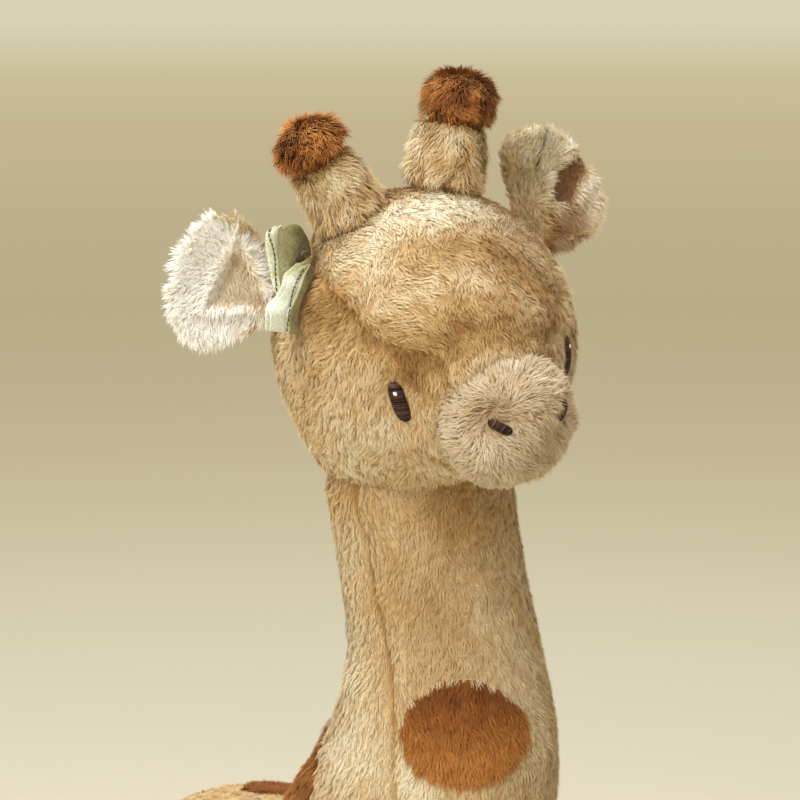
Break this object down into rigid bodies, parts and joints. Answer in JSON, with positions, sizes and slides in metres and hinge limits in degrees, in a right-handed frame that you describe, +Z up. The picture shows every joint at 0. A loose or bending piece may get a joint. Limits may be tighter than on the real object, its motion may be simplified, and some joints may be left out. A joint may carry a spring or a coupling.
{
  "type": "plush giraffe",
  "caption": "Standing plush giraffe with a round head tilted on a long stuffed neck, capped horns, lined flap ears, small fabric bow and a hanging tail.",
  "frame": {"origin": "on the surface the toy stands on, under the middle of the whole toy's bounding box", "axes": "+Z up, -Y the way the toy faces, +X the toy's left"},
  "size_m": [0.1752, 0.2958, 0.4596],
  "materials": {
    "tan_plush": "short honey-tan pile",
    "ivory_plush": "longer ivory pile",
    "white_plush": "long cream-white pile",
    "brown_plush": "rust-brown pile",
    "fibre_fill": "loose polyester fibre",
    "brown_thread": "satin embroidery",
    "white_thread": "satin embroidery",
    "bow_fabric": "sage-green woven cloth with darker stitching"
  },
  "bodies": {
    "torso": {"belly_gusset": "tan_plush", "body_side_left": "tan_plush", "body_side_right": "tan_plush", "body_filling": "fibre_fill", "neck_front_gusset": "tan_plush", "neck_side_left": "tan_plush", "neck_side_right": "tan_plush", "neck_filling": "fibre_fill", "foot_front_left": "brown_plush", "leg_front_left": "tan_plush", "leg_filling_front_left": "fibre_fill", "foot_front_right": "brown_plush", "leg_front_right": "tan_plush", "leg_filling_front_right": "fibre_fill", "foot_rear_left": "brown_plush", "leg_rear_left": "tan_plush", "leg_filling_rear_left": "fibre_fill", "foot_rear_right": "brown_plush", "leg_rear_right": "tan_plush", "leg_filling_rear_right": "fibre_fill", "spot_neck": "brown_plush", "spot_withers": "brown_plush", "spot_flank_left": "brown_plush", "spot_flank_right": "brown_plush", "spot_hip_left": "brown_plush", "spot_hip_right": "brown_plush", "spot_rump": "brown_plush"},
    "head": {"head_forehead_panel": "tan_plush", "head_side_left": "tan_plush", "head_side_right": "tan_plush", "muzzle_skin": "ivory_plush", "head_filling": "fibre_fill", "horn_left": "tan_plush", "horn_filling_left": "fibre_fill", "horn_cap_left": "brown_plush", "eye_left": "brown_thread", "eye_glint_left": "white_thread", "nostril_left": "brown_thread", "horn_right": "tan_plush", "horn_filling_right": "fibre_fill", "horn_cap_right": "brown_plush", "eye_right": "brown_thread", "eye_glint_right": "white_thread", "nostril_right": "brown_thread", "bow_knot": "bow_fabric", "bow_upper_lobe": "bow_fabric", "bow_lower_lobe": "bow_fabric"},
    "ear_left": {"ear_back_left": "tan_plush", "ear_lining_left": "white_plush"},
    "ear_right": {"ear_back_right": "tan_plush", "ear_lining_right": "white_plush"},
    "tail": {"tail": "tan_plush", "tail_tuft": "brown_plush"}
  },
  "joints": [
    {"name": "head_tilt", "type": "hinge", "parent": "torso", "child": "head", "pos_m": [0.00277, -0.06924, 0.366], "axis": [0.1098, 0.9625, 0.2479], "range_deg": [-10, 30], "stiffness_Nm_per_rad": 0.4},
    {"name": "ear_left_fold", "type": "hinge", "parent": "head", "child": "ear_left", "pos_m": [0.04943, -0.0656, 0.39973], "axis": [0.6314, -0.075, -0.7718], "range_deg": [-25, 30], "stiffness_Nm_per_rad": 0.03},
    {"name": "ear_right_fold", "type": "hinge", "parent": "head", "child": "ear_right", "pos_m": [-0.04926, -0.04961, 0.38138], "axis": [0.3114, -0.0777, 0.9471], "range_deg": [-25, 15], "stiffness_Nm_per_rad": 0.03},
    {"name": "tail_swing", "type": "hinge", "parent": "torso", "child": "tail", "pos_m": [0.01377, 0.12313, 0.14025], "axis": [1, 0, 0], "range_deg": [0, 60]}
  ]
}
